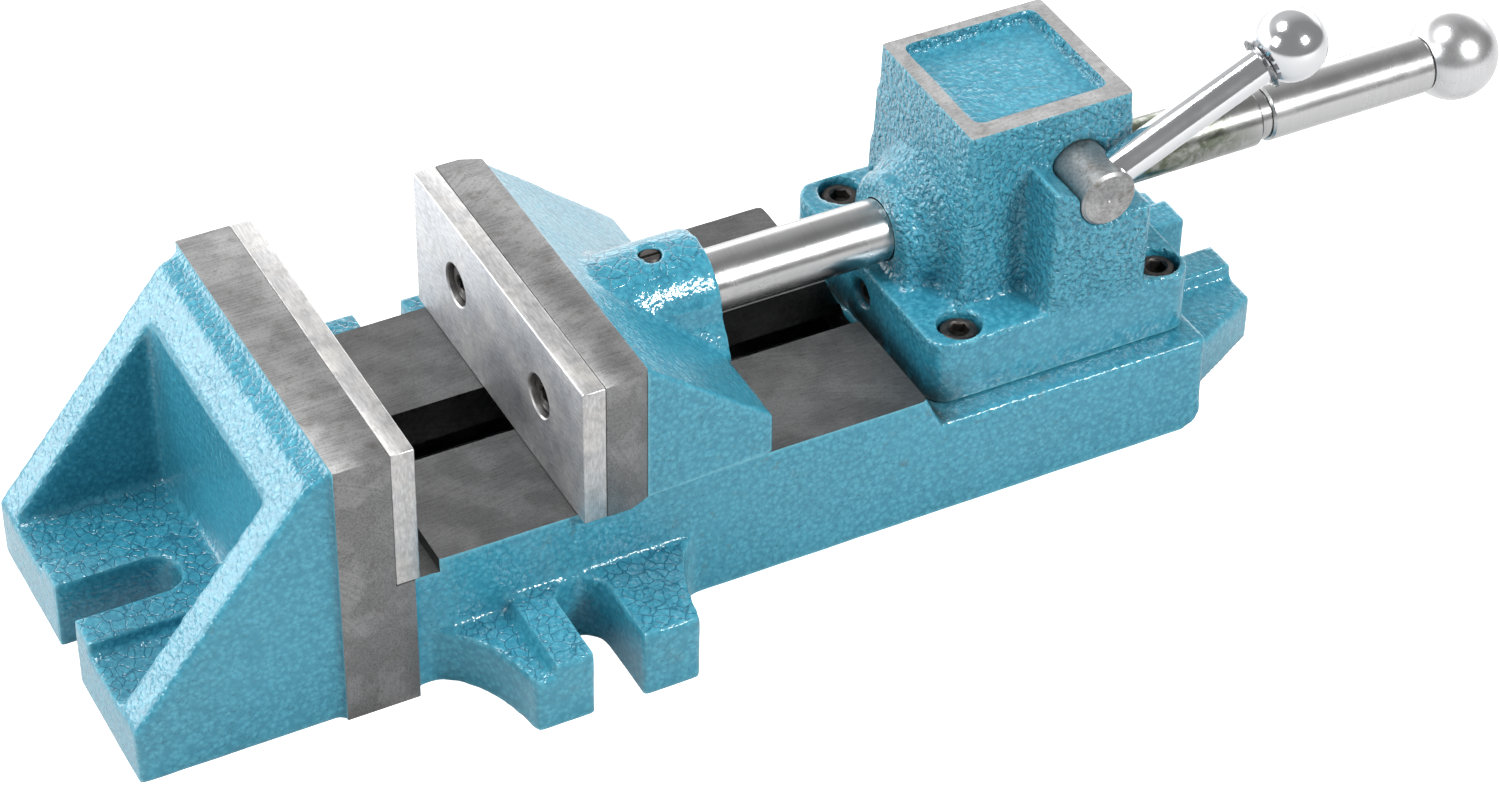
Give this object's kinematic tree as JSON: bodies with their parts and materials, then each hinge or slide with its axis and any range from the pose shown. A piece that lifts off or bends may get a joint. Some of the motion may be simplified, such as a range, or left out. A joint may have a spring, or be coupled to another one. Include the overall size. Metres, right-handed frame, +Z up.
{
  "type": "quick-release drill press vise",
  "caption": "Quick-release drill press vise: a push bar slides the moving jaw along cast ways, and a small cam lever locks the bar.",
  "frame": {"origin": "clamping face of the fixed jaw plate, on the centre plane, at the underside", "axes": "+X along the bed towards the handles, +Y across the bed away from the lever, +Z up"},
  "size_m": [0.4254, 0.1512, 0.1176],
  "materials": {
    "enamelled_casting": "hammered gloss enamel on cast iron, with milled grey iron on the machined faces",
    "ground_steel": "surface ground",
    "milled_steel": "machined",
    "grey_steel": "matte grey, turned",
    "black_oxide": "black oxide",
    "polished_bar": "polished round bar, lightly used",
    "bright_chrome": "polished plating",
    "satin_aluminium": "satin, turned and rubbed",
    "bronze": "plain bearing bronze"
  },
  "bodies": {
    "vise_body": {"base": "enamelled_casting", "fixed_jaw_plate": "ground_steel", "fixed_plate_screws": "black_oxide", "housing": "enamelled_casting", "housing_screws": "black_oxide", "housing_dowels": "milled_steel", "front_bush": "bronze", "rear_bush": "bronze", "lock_pivot_pin": "milled_steel", "lock_adjust_screw": "bronze", "lock_spring": "milled_steel"},
    "moving_jaw": {"moving_jaw": "enamelled_casting", "moving_jaw_plate": "ground_steel", "moving_plate_screws": "black_oxide", "jaw_keeper": "milled_steel", "keeper_washers": "milled_steel", "keeper_screws": "black_oxide", "push_bar": "polished_bar", "bar_set_screw": "black_oxide", "handle_sleeve": "polished_bar", "handle_ball": "satin_aluminium"},
    "lock_lever": {"cross_shaft": "grey_steel", "shaft_clip": "black_oxide", "lever_rod": "bright_chrome", "lever_washer": "milled_steel", "lever_ball": "bright_chrome"},
    "lock_plate": {"lock_plate": "grey_steel"}
  },
  "joints": [
    {"name": "jaw_slide", "type": "slide", "parent": "vise_body", "child": "moving_jaw", "axis": [1, 0, 0], "range_m": [-0.0443, 0.0488]},
    {"name": "lever_hinge", "type": "hinge", "parent": "vise_body", "child": "lock_lever", "pos_m": [0.1997, -0.03254, 0.081], "axis": [0, -1, 0], "range_deg": [-25, 90]},
    {"name": "lock_tilt", "type": "hinge", "parent": "vise_body", "child": "lock_plate", "pos_m": [0.18856, 0, 0.0394], "axis": [0, -1, 0], "range_deg": [-2.5, 0.75], "deforming": ["lock_spring"]}
  ],
  "couplings": [
    {"joint": "lock_tilt", "follows": "lever_hinge", "ratio": -0.0265}
  ]
}
